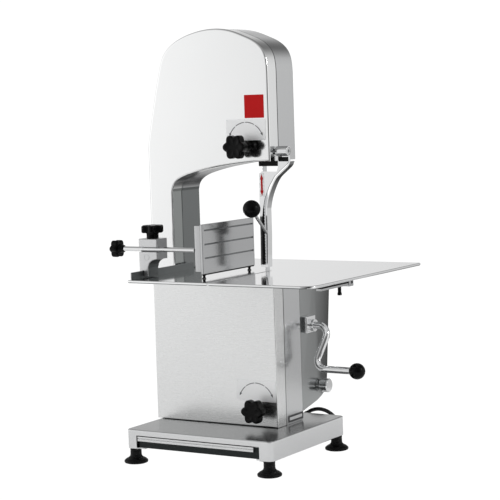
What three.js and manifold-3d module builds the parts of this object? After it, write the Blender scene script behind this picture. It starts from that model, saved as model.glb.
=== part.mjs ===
// Bench-top butcher's bone saw: a two-wheel vertical band saw in stainless steel.
// Millimetres, +Z up, +Y to the rear, the hinged covers face -Y.
// The dimensions below are set out from the middle of the base tray; the last lines
// move the whole assembly so that the origin is under the middle of its box.
import * as THREE from 'three';
import { mergeVertices } from 'three/addons/utils/BufferGeometryUtils.js';
import Module from 'manifold-3d';

const wasm = await Module();
wasm.setup();

// ---------------------------------------------------------------- driving dimensions
const SHIFT = { x: -52, y: -27, z: 0 };                 // base-centred frame to part frame
const BASE = { x: 171, y: 148, z0: 30, z1: 70.2, t: 2.5, r: 10 };
const FOOT = { x: 158, y: 135, flange: 24.5, neck: 11.5 };
const FRONT = -24.5;                                    // front face of the covers
const SEAM = 9.5;                                       // plane where covers meet the frame
const BACK = 78;                                        // rear face of the frame
const WALL = 3;                                         // frame sheet
const SKIN = 2;                                         // cover sheet
const BODY = { x0: -178.5, x1: 114, z0: 70.6, z1: 372, column: -122, throat: 604, top: 870 };
const WHEEL = { x: -31.3, r: 105, flange: 108, y0: 12.5, y1: 27.5, y2: 31.2, lower: 250, upper: 742.5 };
const BLADE = { r: 105.45, t: 0.8, y0: 10.6, y1: 26.6 };
const TABLE = { x0: -114, x1: 302, y0: -204, y1: 258, z: 380.5, t: 2.8, rim: 5.5, lip: 394.5 };
const CRANK = { y: 106, z: 262, armX: 167, elbowX: 143, ballX: 243, ballY: 74, ballZ: 178, tube: 7.2, ball: 16.5 };
const GUARD = { axisY: 0, axisZ: 623, r: 10, x0: 116.2, x1: 143 };
const FENCE = { x: 27, y0: -144, y1: 48, z0: 389.6, z1: 487, rodY: -141, rodZ: 436.5, rod: 4.8 };
const CLAMP = { x0: -122, x1: -78, y0: -150, y1: -113 };
const KNOB_UPPER = { x: 54, z: 634 };
const KNOB_LOWER = { x: 77, z: 107 };
const HINGE = { x: -183.5, y: 9.5, r: 4.4 };
const CORD = { r: 4, coilX: -30, coilY: 200, coilR: 44, coilTop: 51.6 };

// ---------------------------------------------------------------- solids
function solid(geometry) {
  let g = geometry.index ? geometry.toNonIndexed() : geometry.clone();
  for (const name of Object.keys(g.attributes)) if (name !== 'position') g.deleteAttribute(name);
  g = mergeVertices(g, 1e-4);
  const p = g.attributes.position, tris = [];
  let volume = 0;
  const a = new THREE.Vector3(), b = new THREE.Vector3(), c = new THREE.Vector3();
  for (let i = 0; i < g.index.count; i += 3) {
    const t = [g.index.getX(i), g.index.getX(i + 1), g.index.getX(i + 2)];
    if (t[0] === t[1] || t[1] === t[2] || t[0] === t[2]) continue;
    tris.push(t);
    a.fromBufferAttribute(p, t[0]); b.fromBufferAttribute(p, t[1]); c.fromBufferAttribute(p, t[2]);
    volume += a.dot(b.clone().cross(c));
  }
  if (volume < 0) for (const t of tris) t.reverse();
  return new wasm.Manifold(new wasm.Mesh({
    numProp: 3,
    vertProperties: new Float32Array(p.array),
    triVerts: new Uint32Array(tris.flat()),
  }));
}
const moved = (g, x, y, z) => { g.translate(x, y, z); return g; };
function box(x0, x1, y0, y1, z0, z1) {
  return solid(moved(new THREE.BoxGeometry(x1 - x0, y1 - y0, z1 - z0), (x0 + x1) / 2, (y0 + y1) / 2, (z0 + z1) / 2));
}
// A flat outline pushed along an axis. Outlines are [x, y] along Z, [x, z] along Y, [y, z] along X.
function prism(axis, outline, from, to) {
  const g = new THREE.ExtrudeGeometry(new THREE.Shape(outline.map(([u, v]) => new THREE.Vector2(u, v))), { depth: to - from, bevelEnabled: false });
  const m = new THREE.Matrix4();
  if (axis === 'Z') m.makeTranslation(0, 0, from);
  if (axis === 'Y') m.set(1, 0, 0, 0, 0, 0, -1, to, 0, 1, 0, 0, 0, 0, 0, 1);
  if (axis === 'X') m.set(0, 0, 1, from, 1, 0, 0, 0, 0, 1, 0, 0, 0, 0, 0, 1);
  g.applyMatrix4(m);
  return solid(g);
}
// A turned profile of [radius, distance along the axis] points, placed at origin.
function turned(axis, profile, [x, y, z], segments = 32) {
  const g = new THREE.LatheGeometry(profile.map(([r, h]) => new THREE.Vector2(r, h)), segments);
  if (axis === 'Z') g.rotateX(Math.PI / 2);
  if (axis === 'X') g.rotateZ(-Math.PI / 2);
  return solid(moved(g, x, y, z));
}
function rod(axis, r, from, to, [x, y, z], segments = 24) {
  return turned(axis, [[0, from], [r, from], [r, to], [0, to]], [x, y, z], segments);
}
function tube(points, r, sides, steps) {
  const shape = new THREE.Shape();
  for (let i = 0; i < sides; i++) {
    const a = (i / sides) * 2 * Math.PI;
    i ? shape.lineTo(r * Math.cos(a), r * Math.sin(a)) : shape.moveTo(r, 0);
  }
  const path = new THREE.CatmullRomCurve3(points.map((p) => new THREE.Vector3(...p)), false, 'centripetal');
  return solid(new THREE.ExtrudeGeometry(shape, { steps, bevelEnabled: false, extrudePath: path }));
}
// Rounds the corners of a 3-D polyline with arcs, so that a tube can follow it.
function filleted(points, radius, count) {
  const out = [points[0]];
  for (let i = 1; i < points.length - 1; i++) {
    const p = new THREE.Vector3(...points[i]);
    const a = new THREE.Vector3(...points[i - 1]).sub(p).normalize();
    const b = new THREE.Vector3(...points[i + 1]).sub(p).normalize();
    const half = a.angleTo(b) / 2, cut = radius / Math.tan(half);
    const centre = a.clone().add(b).normalize().multiplyScalar(radius / Math.sin(half)).add(p);
    const s = a.clone().multiplyScalar(cut).add(p).sub(centre), e = b.clone().multiplyScalar(cut).add(p).sub(centre);
    const total = s.angleTo(e), n = s.clone().cross(e).normalize();
    for (let k = 0; k <= count; k++) out.push(s.clone().applyAxisAngle(n, (total * k) / count).add(centre).toArray());
  }
  out.push(points[points.length - 1]);
  return out;
}
function inset(outline, d) {
  const area = outline.reduce((s, [x, y], i) => { const [u, v] = outline[(i + 1) % outline.length]; return s + x * v - u * y; }, 0);
  const k = area > 0 ? d : -d;
  return outline.map((p, i) => {
    const q = outline[(i + outline.length - 1) % outline.length], n = outline[(i + 1) % outline.length];
    const norm = (a, b) => { const l = Math.hypot(b[0] - a[0], b[1] - a[1]); return [-(b[1] - a[1]) / l, (b[0] - a[0]) / l]; };
    const n1 = norm(q, p), n2 = norm(p, n), s = k / (1 + n1[0] * n2[0] + n1[1] * n2[1]);
    return [p[0] + s * (n1[0] + n2[0]), p[1] + s * (n1[1] + n2[1])];
  });
}
function rounded(x0, x1, y0, y1, radii, count = 5) {
  const [r00, r10, r11, r01] = Array.isArray(radii) ? radii : [radii, radii, radii, radii], out = [];
  const corner = (cx, cy, r, a0) => {
    for (let i = 0; i <= count; i++) { const a = a0 + (Math.PI / 2) * (i / count); out.push([cx + r * Math.cos(a), cy + r * Math.sin(a)]); }
  };
  corner(x0 + r00, y0 + r00, r00, Math.PI);
  corner(x1 - r10, y0 + r10, r10, 1.5 * Math.PI);
  corner(x1 - r11, y1 - r11, r11, 0);
  corner(x0 + r01, y1 - r01, r01, 0.5 * Math.PI);
  return out;
}
function star(r, cx = 0, cy = 0, count = 48, lobes = 6) {
  return Array.from({ length: count }, (_, i) => {
    const a = (i / count) * 2 * Math.PI, k = r * (0.89 + 0.11 * Math.cos(lobes * a));
    return [cx + k * Math.cos(a), cy + k * Math.sin(a)];
  });
}
const join = (first, ...rest) => rest.reduce((a, b) => a.add(b), first);
const cut = (first, ...rest) => rest.reduce((a, b) => a.subtract(b), first);

// ---------------------------------------------------------------- assembly
const saw = new THREE.Group();
const assembly = new THREE.Group();
assembly.position.set(SHIFT.x, SHIFT.y, SHIFT.z);
saw.add(assembly);
const STEEL = [0xcfd0d0, 0.28, 1.0], POLISHED = [0xdcdddd, 0.15, 1.0], BLACK = [0x111112, 0.38, 0.0];
const ALU = [0xb9babb, 0.35, 1.0], RUBBER = [0x17181a, 0.8, 0.0], CAST = [0xd4d5d6, 0.45, 0.9];
function node(name, manifold, [color, roughness, metalness] = STEEL) {
  const out = manifold.getMesh();
  const g = new THREE.BufferGeometry();
  g.setAttribute('position', new THREE.BufferAttribute(new Float32Array(out.vertProperties), 3));
  g.setIndex(new THREE.BufferAttribute(new Uint32Array(out.triVerts), 1));
  g.computeVertexNormals();
  const mesh = new THREE.Mesh(g, new THREE.MeshStandardMaterial({ color, roughness, metalness, flatShading: true }));
  mesh.name = name;
  assembly.add(mesh);
  return mesh;
}

// Head outline, looking from the front: [x, z], from the left side up, over and down to the throat.
const HEAD = [
  [-178.5, 640], [-170.5, 682], [-160, 731], [-147.5, 783], [-139, 812], [-128, 830], [-112, 843.5],
  [-92, 854], [-67, 862.5], [-36, 868.6], [-5, 870], [28, 865], [60, 853.5], [81, 844], [94, 835],
  [103.5, 824.5], [109.5, 812], [112.4, 797], [113.5, 780], [113.5, 604],
];
const THROAT = [
  [76, 604], [29, 599.6], [-35, 590], [-72, 581.6], [-96, 574], [-110, 566], [-118.4, 556], [-122, 543],
];
const upperOutline = (z) => [[-178.5, z], ...HEAD, ...THROAT, [-122, z]].reverse();
const wholeOutline = [[BODY.x0, BODY.z0], ...HEAD, ...THROAT, [BODY.column, BODY.z1], [BODY.x1, BODY.z1], [BODY.x1, BODY.z0]].reverse();

// Base tray: a folded pan turned upside down, open at the front for the residue drawer.
{
  const b = BASE;
  let tray = prism('Z', rounded(-b.x, b.x, -b.y, b.y, b.r), b.z0, b.z1);
  tray = cut(tray,
    prism('Z', rounded(-b.x + b.t, b.x - b.t, -b.y + b.t, b.y - b.t, b.r - b.t), b.z0 + b.t, b.z1 - b.t),
    box(-132, 132, -b.y + b.t, b.y - b.t, b.z0 - 1, b.z0 + b.t + 1),
    box(-146.5, 143.5, -b.y - 1, -b.y + 8, b.z0 - 1, 58.6),
    box(-95, 55, 14, 58, b.z1 - b.t - 1, b.z1 + 1));
  node('base_tray', tray, POLISHED);
}
// Four rubber feet.
for (const [name, sx, sy] of [['foot_front_left', -1, -1], ['foot_front_right', 1, -1], ['foot_rear_left', -1, 1], ['foot_rear_right', 1, 1]]) {
  node(name, turned('Z', [[0, 0], [21, 0], [24.5, 2.5], [24.5, 5.2], [20, 9], [13.6, 12.6], [11.5, 16], [11.5, 29.7], [0, 29.7]], [sx * FOOT.x, sy * FOOT.y, 0], 20), RUBBER);
}
// Residue drawer with its pull strip.
{
  const d = cut(join(box(-144, 141.4, -143, 118, 33.2, 57.6), box(-144, 130, -148, -142, 47, 57.6)),
    box(-142.4, 139.8, -141.4, 116.4, 34.8, 60));
  node('residue_drawer', d, STEEL);
}
// Welded main frame: back plate with a folded wall all round, open towards the covers.
{
  let f = prism('Y', wholeOutline, SEAM + 0.3, BACK);
  f = cut(f, prism('Y', inset(wholeOutline, WALL), SEAM - 1, BACK - 4));
  f = cut(f,
    box(66, 84, SEAM - 1, 34, 590, 612),
    box(66, 84, SEAM - 1, 34, 364, 378),
    box(-95, 55, 14, 58, BODY.z0 - 2, BODY.z0 + 5),
    prism('Y', rounded(WHEEL.x - 19, WHEEL.x + 19, WHEEL.lower - 19, WHEEL.lower + 26, 14, 4), BACK - 6, BACK + 2));
  node('main_frame', f, STEEL);
}
// Upper cover: a shell over the head and the column, hinged at its left edge.
{
  const outline = upperOutline(BODY.z1 + 0.6);
  let c = cut(prism('Y', outline, FRONT, SEAM - 0.3), prism('Y', inset(outline, SKIN), FRONT + SKIN, SEAM + 1));
  c = cut(c, box(108, 116, -9, SEAM + 1, 614.5, 631.5), rod('Y', 4.5, FRONT - 1, FRONT + 4, [KNOB_UPPER.x, 0, KNOB_UPPER.z]));
  node('upper_cover', c, POLISHED);
}
{
  const o = [BODY.x0, BODY.x1, BODY.z0 + 0.4, BODY.z1 - 0.4];
  let c = cut(box(o[0], o[1], FRONT, SEAM - 0.3, o[2], o[3]), box(o[0] + SKIN, o[1] - SKIN, FRONT + SKIN, SEAM + 1, o[2] + SKIN, o[3] - SKIN));
  c = cut(c, rod('Y', 4.5, FRONT - 1, FRONT + 4, [KNOB_LOWER.x, 0, KNOB_LOWER.z]));
  node('lower_cover', c, STEEL);
}
// Star knobs that screw each cover to a post in the frame.
for (const [name, k] of [['upper_cover', KNOB_UPPER], ['lower_cover', KNOB_LOWER]]) {
  const knob = join(
    prism('Y', star(25.5, k.x, k.z), -66, -48),
    turned('Y', [[0, -50], [15, -50], [12, -40], [12, FRONT - 0.3], [0, FRONT - 0.3]], [k.x, 0, k.z], 24),
    rod('Y', 4, FRONT - 2, 16, [k.x, 0, k.z], 16));
  node(`${name}_knob`, knob, BLACK);
  node(`${name}_latch_post`, cut(rod('Y', 9, 11, BACK - 4.3, [k.x, 0, k.z], 24), rod('Y', 4.9, 10, 30, [k.x, 0, k.z], 20)), STEEL);
}
// Long hinges at the left edge: the frame leaf carries the pin, the cover leaf turns on it.
for (const [name, z0, z1] of [['upper', 400, 636], ['lower', 110, 330]]) {
  const { x, y, r } = HINGE;
  const frameLeaf = join(
    box(-180.6, -178.8, 13.3, 38, z0, z1),
    ...[[z0, z0 + 40], [z1 - 40, z1]].flatMap(([a, b]) => [rod('Z', r, a, b, [x, y, 0], 20), box(x, -178.8, y, y + 4.2, a, b)]),
    rod('Z', 1.9, z0 + 1, z1 - 1, [x, y, 0], 12));
  node(`${name}_hinge_frame_leaf`, cut(frameLeaf, box(-178.8, -170, 0, 40, z0 - 1, z1 + 1)), STEEL);
  const coverLeaf = cut(
    join(box(-180.6, -178.8, -20, 5, z0, z1), rod('Z', r, z0 + 40.5, z1 - 40.5, [x, y, 0], 20), box(x, -178.9, y - 6, y - 1, z0 + 40.5, z1 - 40.5)),
    rod('Z', 2.3, z0, z1, [x, y, 0], 16), box(-178.8, -170, -30, 40, z0 - 1, z1 + 1));
  node(`${name}_hinge_cover_leaf`, coverLeaf, STEEL);
}
// Rear housing over the motor: sloping floor and back, sides drawn in towards the rear.
{
  const side = [[78.5, 82], [180, 103], [203, 112], [213, 141], [238, 321], [240, 352], [236, 365], [78.5, 365]];
  const plan = [[-168, 78.5], [106, 78.5], [106, 151], [92.5, 242], [-154.5, 242], [-168, 151]];
  const outer = prism('X', side, -170, 110).intersect(prism('Z', plan, 60, 380));
  const shrink = (o) => inset(o, SKIN).map(([u, v]) => [u, v]);
  const innerSide = shrink(side).map(([y, z]) => [y < 82 ? 70 : y, z]);
  const innerPlan = shrink(plan).map(([x, y]) => [x, y < 82 ? 70 : y]);
  const inner = prism('X', innerSide, -170, 110).intersect(prism('Z', innerPlan, 60, 380));
  node('motor_housing', cut(outer, inner, rod('X', 9.5, 95, 110, [0, CRANK.y, CRANK.z])), STEEL);
}
node('housing_boss', turned('X', [[0, 0], [12, 0], [12, 3], [14.5, 4.5], [14.5, 18.5], [13, 20], [0, 20]], [106.4, 168, 127], 24), POLISHED);
// Work table: a plate with a turned-down rim, an upstand along its left edge and a slot for changing the blade.
{
  const t = TABLE, plan = rounded(t.x0, t.x1, t.y0, t.y1, [4, 26, 8, 8]);
  let plate = cut(prism('Z', plan, t.z - t.rim, t.z), prism('Z', inset(plan, 2.5), t.z - t.rim - 1, t.z - t.t));
  plate = join(plate, box(t.x0, t.x0 + 2.5, -193, 30, t.z - t.rim, t.lip));
  plate = cut(plate, box(71.8, 76.8, t.y0 - 1, 32, t.z - 10, t.z + 1));
  node('work_table', plate, POLISHED);
}
node('table_support', cut(box(-110, 64, -18, 74, BODY.z1 + 0.3, TABLE.z - TABLE.t - 0.3), box(-80, 34, 4, 56, 370, 380)), STEEL);
// Rail under the right edge of the table, with a black slide strip and a sprung pin.
node('rail_slide_strip', box(284, 296, -159, -51, 370.9, TABLE.z - TABLE.t - 0.3), BLACK);
node('side_rail', cut(join(box(284, 296, -155, -40, 366.6, 370.6), box(283, 297, -50.6, -32, 364, TABLE.z - TABLE.t - 0.3)),
  rod('Z', 2.8, 364, 372, [290, -76, 0], 16), rod('X', 3.5, 280, 300, [0, -38, 371.5], 16)), ALU);
node('rail_lock_pin', turned('Z', [[0, 350], [4, 350], [4.4, 353], [3.4, 356], [3.4, 366.2], [2.2, 366.2], [2.2, 370], [0, 370]], [290, -76, 0], 16), BLACK);

// Wheels, axle, bearing, drive shaft, motor.
function wheel(z, bore, y0, y1) {
  const w = WHEEL;
  const rim = turned('Y', [[bore, y0], [24, y0], [26, 16.5], [90, 16.5], [94, w.y0], [w.r, w.y0], [w.r, w.y1], [w.flange, w.y1], [w.flange, w.y2], [94, w.y2], [90, 24.5], [26, 24.5], [24, y1], [bore, y1], [bore, y0]], [w.x, 0, z], 48);
  const holes = Array.from({ length: 5 }, (_, i) => {
    const a = (i * 72 + 18) * Math.PI / 180;
    return rod('Y', 17, 10, 35, [w.x + 58 * Math.cos(a), 0, z + 58 * Math.sin(a)], 14);
  });
  return cut(rim, ...holes);
}
node('upper_wheel', wheel(WHEEL.upper, 17.9, 9, 37), ALU);
node('upper_wheel_bearing', turned('Y', [[8.9, 10], [17.5, 10], [17.5, 36], [8.9, 36], [8.9, 10]], [WHEEL.x, 0, WHEEL.upper], 28), STEEL);
node('upper_axle', turned('Y', [[0, 6], [8.4, 6], [8.4, 40], [12, 40], [14, 67], [34, 67.7], [34, BACK - 4.3], [0, BACK - 4.3]], [WHEEL.x, 0, WHEEL.upper], 28), STEEL);
node('lower_wheel', wheel(WHEEL.lower, 10.4, 9, 37), ALU);
node('motor_shaft', turned('Y', [[0, 3], [14, 3], [14, 8.6], [10, 8.6], [10, 188], [0, 188]], [WHEEL.x, 0, WHEEL.lower], 28), STEEL);
node('motor_body', turned('Y', [[0, 192], [11.5, 192], [11.5, 87.3], [68, 87.3], [68, 95], [60, 95], [60, 194], [48, 202], [0, 202]], [WHEEL.x, 0, WHEEL.lower], 36), [0x5b5f63, 0.5, 0.4]);
// Motor plate on the vertical guide; the cam of the tension lever turns under its shelf.
{
  const plate = cut(join(box(-101, 38.4, 79, 87, 172, 332), box(28, 38.4, 86, 96, 300, 330), box(37, 64, 91.5, 96, 300, 330), box(52, 64, 91.5, 96, 272.5, 330), box(52, 64, 91.5, 122, 272.5, 278.5)),
    rod('Y', 16, 78, 88, [WHEEL.x, 0, WHEEL.lower], 24));
  node('motor_plate', plate, STEEL);
  node('carriage_guide', cut(box(-112, 48.5, 78.4, 90, 165, 352), box(-101.4, 38.8, 78, 91, 164, 341)), STEEL);
}
node('tension_camshaft', join(rod('X', 7, 48, 136, [0, CRANK.y, CRANK.z], 24), rod('X', 12, 53, 63, [0, CRANK.y, CRANK.z - 4], 28)), STEEL);
node('crank_bearing_block', cut(join(box(106.3, 122, 88, 126, 247, 281), rod('X', 12.5, 121, 132, [0, CRANK.y, CRANK.z], 24)), rod('X', 7.5, 100, 140, [0, CRANK.y, CRANK.z], 24)), POLISHED);
{
  const c = CRANK;
  const route = filleted([[136.3, c.y, c.z], [c.armX, c.y, c.z], [c.elbowX, c.ballY, c.ballZ], [c.ballX - 15.2, c.ballY, c.ballZ]], 20, 6);
  node('crank_arm', tube(route, c.tube, 12, 32), POLISHED);
  const arc = Array.from({ length: 11 }, (_, i) => { const a = (-64 + i * 14) * Math.PI / 180; return [c.ball * Math.cos(a), c.ball * Math.sin(a)]; });
  node('crank_ball', turned('X', [[0, arc[0][1]], ...arc, [0, c.ball]], [c.ballX, c.ballY, c.ballZ], 22), BLACK);
}
// Blade: an endless band round both wheels.
{
  const loop = (r) => {
    const out = [];
    for (let i = 0; i <= 32; i++) { const a = (i / 32) * Math.PI; out.push([WHEEL.x + r * Math.cos(a), WHEEL.upper + r * Math.sin(a)]); }
    for (let i = 0; i <= 32; i++) { const a = Math.PI + (i / 32) * Math.PI; out.push([WHEEL.x + r * Math.cos(a), WHEEL.lower + r * Math.sin(a)]); }
    return out;
  };
  node('saw_blade', cut(prism('Y', loop(BLADE.r + BLADE.t), BLADE.y0, BLADE.y1), prism('Y', loop(BLADE.r), BLADE.y0 - 1, BLADE.y1 + 1)), [0xc8cacc, 0.25, 1.0]);
}
node('blade_guide_upper', cut(box(66, 112, 10.2, 30, 593, 603.2), box(73.6, 75.5, 5, 27.2, 590, 606)), POLISHED);
node('blade_guide_lower', cut(box(62, 90, 8.5, BACK - 4.3, 344, 360), box(73.6, 75.5, 5, 27.2, 340, 364)), STEEL);
node('wheel_scraper', join(box(-46, -16, 11, 26.4, 624, 636.6), box(-40, -22, 26, BACK - 4.3, 622, 628)), [0xe8e6df, 0.6, 0.0]);

// Blade guard: a folded arm that hangs on a barrel and swings forward on a shoulder bolt.
{
  const g = GUARD;
  const face = [[70, 391], [84, 391], [86, 391], [88, 456], [88, 482], [88, 508], [92, 527], [101, 550], [113, 570], [127, 582], [141, 594], [145, 602], [143, 614], [117.5, 615], [116.5, 592], [113, 582.5], [77, 583], [72.6, 562], [71.2, 527], [71.2, 456]];
  const edge = [[84, 391], [86, 391], [88, 456], [88, 482], [88, 508], [92, 527], [101, 550], [113, 570], [127, 582], [141, 594], [145, 602], [142.6, 603], [139, 596], [125.5, 584], [111, 571.5], [99.4, 551.6], [90, 527.6], [86, 508], [86, 482], [86, 456]];
  let arm = join(prism('Y', face, 0.5, 2.5), prism('Y', edge, 2, 18),
    prism('Y', [[70, 391], [71.8, 391], [73, 456], [73, 560], [71.2, 560], [71.2, 456]], 2, 18),
    rod('X', g.r, g.x0, g.x1, [0, g.axisY, g.axisZ], 28));
  arm = cut(arm, rod('X', 5.5, 110, 150, [0, g.axisY, g.axisZ], 20), rod('X', 7.6, g.x1 - 5, 150, [0, g.axisY, g.axisZ], 20),
    prism('Y', [[73.5, 396], [83.6, 396], [85.4, 456], [75.2, 456]], 0, 2.8));
  node('guard_arm', arm, POLISHED);
  node('guard_pivot_bolt', turned('X', [[0, 106.3], [5, 106.3], [5, g.x1 - 4.6], [7.2, g.x1 - 4.6], [7.2, g.x1 - 0.4], [3.2, g.x1 - 0.4], [3.2, g.x1 - 3], [0, g.x1 - 3]], [0, g.axisY, g.axisZ], 20), STEEL);
  node('guard_bracket', cut(join(box(100, 106, -9, 30, 612, 634), box(84.5, 110.2, 26, 30, 612, 634)), box(80, 99, 0, 25, 600, 640)), STEEL);
  const a = [87.2, -2, 460.8], b = [90, -50.5, 501];
  node('guard_lever', tube([a, a.map((v, i) => (v + b[i]) / 2), b], 3.2, 10, 2), POLISHED);
}
{
  const d = new THREE.Vector3(90 - 87.2, -60 + 0, 511 - 459).normalize();
  const g = new THREE.SphereGeometry(17.5, 18, 12);
  const ball = solid(moved(g, 90.6, -61.8, 512.4));
  const flat = new THREE.BoxGeometry(40, 40, 40);
  flat.applyQuaternion(new THREE.Quaternion().setFromUnitVectors(new THREE.Vector3(0, 0, 1), d));
  const c = new THREE.Vector3(90, -50.5, 501).add(d.clone().multiplyScalar(0.35 - 20));
  flat.translate(c.x, c.y, c.z);
  node('guard_ball', cut(ball, solid(flat)), BLACK);
}

// Thickness fence on its rod.
{
  const f = FENCE;
  let plate = box(f.x - 6, f.x, f.y0, f.y1, f.z0, f.z1);
  plate = join(plate, box(f.x - 20, f.x - 4, f.y0, f.y0 + 4, f.z0 + 4, f.z1 - 2), box(f.x - 20, f.x - 4, f.y1 - 4, f.y1, f.z0 + 4, f.z1 - 2));
  for (const z of [420.6, 447.4, 475]) plate = cut(plate, prism('Y', [[f.x - 1.2, z], [f.x + 1, z - 1.4], [f.x + 1, z + 1.4]], f.y0 + 6, f.y1 - 4));
  node('fence_plate', plate, ALU);
  node('fence_glides', join(box(f.x - 5.4, f.x - 0.6, f.y0 + 2, f.y1 - 2, 387.3, f.z0 - 0.3),
    turned('Z', [[0, 380.8], [4.2, 380.8], [2.2, 384.4], [3.6, 387.4], [0, 387.4]], [f.x - 3, f.y0 + 6, 0], 14),
    turned('Z', [[0, 380.8], [4.2, 380.8], [2.2, 384.4], [3.6, 387.4], [0, 387.4]], [f.x - 3, 30, 0], 14)), BLACK);
  node('fence_rod', rod('X', f.rod, -164, f.x - 20.3, [0, f.rodY, f.rodZ], 20), POLISHED);
  node('fence_end_knob', join(prism('X', star(18.5, f.rodY, f.rodZ, 42), -189, -173), turned('X', [[0, -174], [10, -174], [7.5, -164.3], [0, -164.3]], [0, f.rodY, f.rodZ], 20)), BLACK);
}
// Clamp on the table upstand: split block, bolt face and star-handled screw.
{
  const c = CLAMP, f = FENCE;
  const profile = [[c.x0, 383], [-101, 383], [-101, 399], [-97, 409], [-88, 415], [c.x1, 417], [c.x1, 457.5], [c.x0, 457.5]];
  let block = prism('Y', profile, c.y0, c.y1);
  block = cut(block,
    box(-114.6, -110.9, c.y0 - 1, c.y1 + 1, 380, 395),
    box(c.x0 - 1, c.x1 + 1, c.y0 - 1, f.rodY, f.rodZ - 5.2, f.rodZ + 5.2),
    rod('X', 5.2, c.x0 - 1, c.x1 + 1, [0, f.rodY, f.rodZ], 24));
  node('clamp_block', block, CAST);
  node('clamp_knob', join(prism('Z', star(23.5, -100, -131.5), 469, 484), turned('Z', [[0, 457.9], [12, 457.9], [12, 469.5], [0, 469.5]], [-100, -131.5, 0], 24)), BLACK);
}
// Switch on the left side, out of the way of the hinges.
node('switch_box', cut(join(box(-192, -178.9, 42, 74, 240, 330)), rod('X', 9.6, -193, -183, [0, 58, 306], 20), rod('X', 11.6, -193, -183, [0, 58, 266], 20)), [0x2b2d30, 0.5, 0.0]);
node('start_button', rod('X', 9, -196.6, -187.4, [0, 58, 306], 20), [0x1e8c3a, 0.4, 0.0]);
node('stop_button', turned('X', [[0, -198], [12.6, -198], [12.6, -194.6], [11, -194.6], [11, -187.4], [0, -187.4]], [0, 58, 266], 20), [0xb3161b, 0.4, 0.0]);

// Mains lead: gland and relief at the rear of the base, a lead, a tied coil behind the saw and a plug.
{
  const start = new THREE.Vector3(52, 157, 47), d = new THREE.Vector3(0.7372, 0.2, 0.6454).normalize();
  const boot = new THREE.CylinderGeometry(5.2, 7.6, 30, 16);
  boot.applyQuaternion(new THREE.Quaternion().setFromUnitVectors(new THREE.Vector3(0, 1, 0), d));
  const mid = start.clone().addScaledVector(d, 15);
  boot.translate(mid.x, mid.y, mid.z);
  node('power_gland', join(rod('Y', 11, BASE.y + 0.3, 155, [52, 0, 47], 6), rod('Y', 9, 154, 161, [52, 0, 47], 20), solid(boot)), BLACK);
  const c = CORD, exit = start.clone().addScaledVector(d, 30.5);
  // Straight out of the relief, over in one arch, down to the floor and round to the coil: no bend under 32 mm.
  const lead = [exit.toArray(), [77.56, 163.91, 69.09], [83.2, 165.3, 72.3], [93.1, 167.6, 75.2], [103.4, 170.4, 75.1], [113.3, 173.6, 72.1], [121.8, 177.4, 66.3], [128.4, 181.7, 58.4], [132.4, 186.4, 48.9], [133.6, 191.6, 38.7], [131.7, 197.1, 28.5], [127.1, 202.9, 19.3], [120, 208.6, 11.9], [112.4, 213.5, 7.3], [102.4, 219, 4.6], [92.1, 224.2, 4.3], [81.8, 228.9, 4.3], [71.4, 233.1, 4.3], [61.1, 236.6, 4.3], [50.7, 239.4, 4.3], [40.4, 241.5, 4.3], [30, 242.9, 4.3], [19.7, 243.6, 4.3], [9.3, 244, 4.3], [c.coilX + 29, 244, 4.3]];
  node('cord_lead', tube(lead, c.r, 10, 34), BLACK);
  node('cord_coil', turned('Z', [[39.8, 0.2], [48.4, 0.2], [48.4, c.coilTop], [39.8, c.coilTop], [39.8, 0.2]], [c.coilX, c.coilY, 0], 36), BLACK);
  node('cord_tail', tube([[c.coilX - 29, 244, 44.4], [-72, 244, 38.4], [-86, 244, 28.6], [-98, 244, 20.6], [-108, 244, 16.2], [-115, 244, 14.9], [-122, 244, 14.9]], c.r, 10, 12), BLACK);
  node('mains_plug', join(turned('X', [[0, -42], [13.6, -42], [14.4, -39], [14.4, -22], [10, -10], [7, -0.3], [0, -0.3]], [-122, 244, 14.9], 20),
    rod('X', 2.4, -61, -41, [-122, 234.5, 14.9], 12), rod('X', 2.4, -61, -41, [-122, 253.5, 14.9], 12)), BLACK);
}

export default saw;
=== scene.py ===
import math
import bpy
from mathutils import Vector, Matrix


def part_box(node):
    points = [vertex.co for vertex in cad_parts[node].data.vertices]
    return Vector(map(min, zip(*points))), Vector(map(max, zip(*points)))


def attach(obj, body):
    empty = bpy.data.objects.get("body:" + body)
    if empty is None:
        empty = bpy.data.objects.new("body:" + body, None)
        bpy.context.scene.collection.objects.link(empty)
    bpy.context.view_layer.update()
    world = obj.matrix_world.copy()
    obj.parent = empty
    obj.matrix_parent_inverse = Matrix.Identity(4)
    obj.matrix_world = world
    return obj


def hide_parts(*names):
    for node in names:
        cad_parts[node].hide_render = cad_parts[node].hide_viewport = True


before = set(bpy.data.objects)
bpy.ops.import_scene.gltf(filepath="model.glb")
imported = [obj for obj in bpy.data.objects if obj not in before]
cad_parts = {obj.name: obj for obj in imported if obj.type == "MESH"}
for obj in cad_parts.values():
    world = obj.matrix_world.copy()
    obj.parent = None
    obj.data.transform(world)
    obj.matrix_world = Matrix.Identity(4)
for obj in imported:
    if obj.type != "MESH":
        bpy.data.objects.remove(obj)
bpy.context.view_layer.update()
scene = bpy.context.scene

# Lengths below are millimetres from the middle of the base; SHIFT moves them to the part's frame.
SHIFT = Vector((-52, -27, 0))


def P(x, y, z):
    return Vector(((x + SHIFT.x) / 1000, (y + SHIFT.y) / 1000, (z + SHIFT.z) / 1000))


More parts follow.
